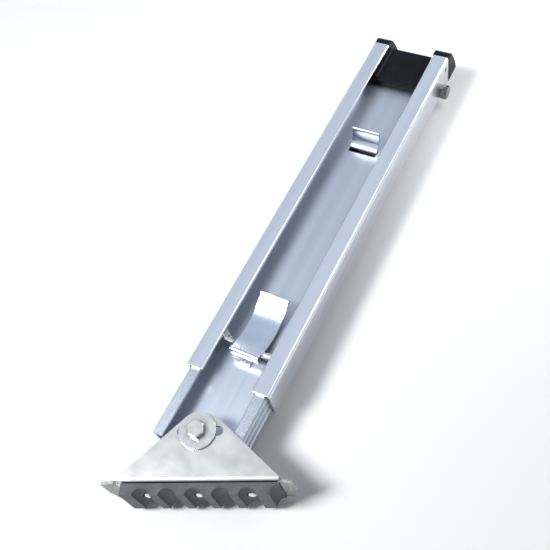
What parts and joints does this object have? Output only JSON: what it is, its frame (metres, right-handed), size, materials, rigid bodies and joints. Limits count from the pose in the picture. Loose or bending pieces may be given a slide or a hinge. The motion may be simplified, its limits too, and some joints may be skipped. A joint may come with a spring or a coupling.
{
  "type": "ladder leveller",
  "caption": "Sliding ladder leg leveller: aluminium rail channel with a telescoping leg, foot pedal lock and swivelling rubber-soled foot.",
  "frame": {"origin": "centre of the rail bolt pattern on the channel's back face, at mid-length of the channel", "axes": "+X across the channel, +Y along the channel towards the cap, +Z out of the open front; in use +Y points up along the ladder rail and -Z faces the rail"},
  "size_m": [0.146, 0.5517, 0.0557],
  "materials": {
    "extruded_aluminium": "mill finish extrusion, satin, faint lines along its length",
    "zinc_sheet": "bent steel sheet, bright zinc plated, soft gloss",
    "zinc_hardware": "zinc plated bolts, nuts, washers, rivets and pins",
    "spring_steel": "rolled spring steel, zinc plated",
    "cap_plastic": "moulded black plastic, satin",
    "pad_rubber": "moulded grey-black rubber, matt"
  },
  "bodies": {
    "housing": {"outer_channel": "extruded_aluminium", "top_cap": "cap_plastic", "cross_bolt": "zinc_hardware", "cross_bolt_washers": "zinc_hardware", "cross_bolt_nut": "zinc_hardware", "lock_cheeks": "zinc_sheet", "pedal_pin": "zinc_hardware", "pin_clips": "spring_steel", "housing_stop": "extruded_aluminium", "housing_stop_rivets": "zinc_hardware"},
    "leg": {"leg_channel": "extruded_aluminium", "lift_hook": "zinc_sheet", "leg_stop": "extruded_aluminium", "hook_rivets": "zinc_hardware"},
    "pedal_lever": {"pedal": "zinc_sheet", "lock_plate": "zinc_sheet", "leaf_spring": "spring_steel"},
    "pivot": {"pivot_bolt": "zinc_hardware", "front_washer": "zinc_hardware", "front_spacer": "zinc_hardware", "rear_spacer": "zinc_hardware", "rear_washer": "zinc_hardware", "pivot_nut": "zinc_hardware"},
    "foot": {"foot_bracket": "zinc_sheet", "foot_pad": "pad_rubber", "pad_rivets": "zinc_hardware"}
  },
  "joints": [
    {"name": "leg_slide", "type": "slide", "parent": "housing", "child": "leg", "axis": [0, -1, 0], "range_m": [-0.002, 0.188]},
    {"name": "pedal_tilt", "type": "hinge", "parent": "housing", "child": "pedal_lever", "pos_m": [0, -0.1631, 0.0206], "axis": [-1, 0, 0], "range_deg": [0, 5.5], "stiffness_Nm_per_rad": 1.5, "springref_deg": -8.59},
    {"name": "foot_swivel", "type": "hinge", "parent": "leg", "child": "pivot", "pos_m": [0, -0.2525, 0.018], "axis": [0, 0, 1], "range_deg": [-62, 13]},
    {"name": "foot_shift", "type": "slide", "parent": "pivot", "child": "foot", "axis": [0.907, 0.421, 0], "range_m": [-0.0172, 0.0132]}
  ]
}
